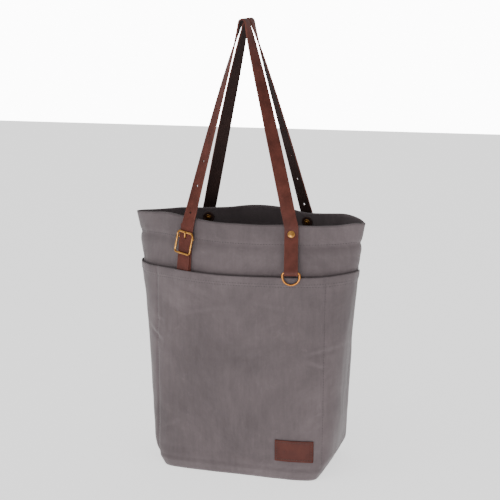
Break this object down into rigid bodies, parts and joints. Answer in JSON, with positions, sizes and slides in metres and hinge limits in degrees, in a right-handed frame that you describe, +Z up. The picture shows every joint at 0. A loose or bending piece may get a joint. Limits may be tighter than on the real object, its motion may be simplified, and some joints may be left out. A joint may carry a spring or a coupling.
{
  "type": "canvas tote bag",
  "caption": "Free-standing waxed canvas tote bag with a wide front pocket, leather shoulder handles, brass buckles, rivets and D-rings.",
  "frame": {"origin": "on the floor under the middle of the base", "axes": "+Z up, -Y towards the front with the pocket and the patch, +X to the right seen from the front"},
  "size_m": [0.361, 0.1556, 0.6783],
  "materials": {
    "canvas": "matte waxed cotton canvas, warm grey, softly mottled",
    "binding": "woven cotton binding tape, dark grey",
    "leather": "red-brown vegetable-tanned strap leather, satin grain side",
    "dark_leather": "dark brown leather discs, satin",
    "brass": "antique brass, brushed and slightly tarnished"
  },
  "bodies": {
    "bag": {"back_anchor_strap": "leather", "back_buckle": "brass", "back_hem_facing": "canvas", "back_panel": "canvas", "back_rivet_burrs": "brass", "back_rivet_washers": "dark_leather", "back_rivets": "brass", "back_strap_end": "leather", "back_strap_tail": "leather", "base_panel": "canvas", "front_anchor_strap": "leather", "front_buckle": "brass", "front_hem_facing": "canvas", "front_panel": "canvas", "front_pocket": "canvas", "front_rivet_burrs": "brass", "front_rivet_washers": "dark_leather", "front_rivets": "brass", "front_strap_end": "leather", "front_strap_tail": "leather", "leather_patch": "leather", "left_seam_binding": "binding", "right_seam_binding": "binding"},
    "front_handle": {"front_handle_strap": "leather"},
    "back_handle": {"back_handle_strap": "leather"},
    "front_d_ring_body": {"front_d_ring": "brass"},
    "back_d_ring_body": {"back_d_ring": "brass"}
  },
  "joints": [
    {"name": "front_handle_fold", "type": "hinge", "parent": "bag", "child": "front_handle", "pos_m": [0, -0.05936, 0.381], "axis": [1, 0, 0], "range_deg": [0, 160]},
    {"name": "front_d_ring_swing", "type": "hinge", "parent": "bag", "child": "front_d_ring_body", "pos_m": [0.08469, -0.06808, 0.31786], "axis": [-0.9781, -0.2079, 0], "range_deg": [0, 150]},
    {"name": "back_handle_fold", "type": "hinge", "parent": "bag", "child": "back_handle", "pos_m": [0, 0.05936, 0.381], "axis": [-1, 0, 0], "range_deg": [0, 160]},
    {"name": "back_d_ring_swing", "type": "hinge", "parent": "bag", "child": "back_d_ring_body", "pos_m": [-0.08469, 0.06808, 0.31786], "axis": [0.9781, 0.2079, 0], "range_deg": [0, 150]}
  ]
}
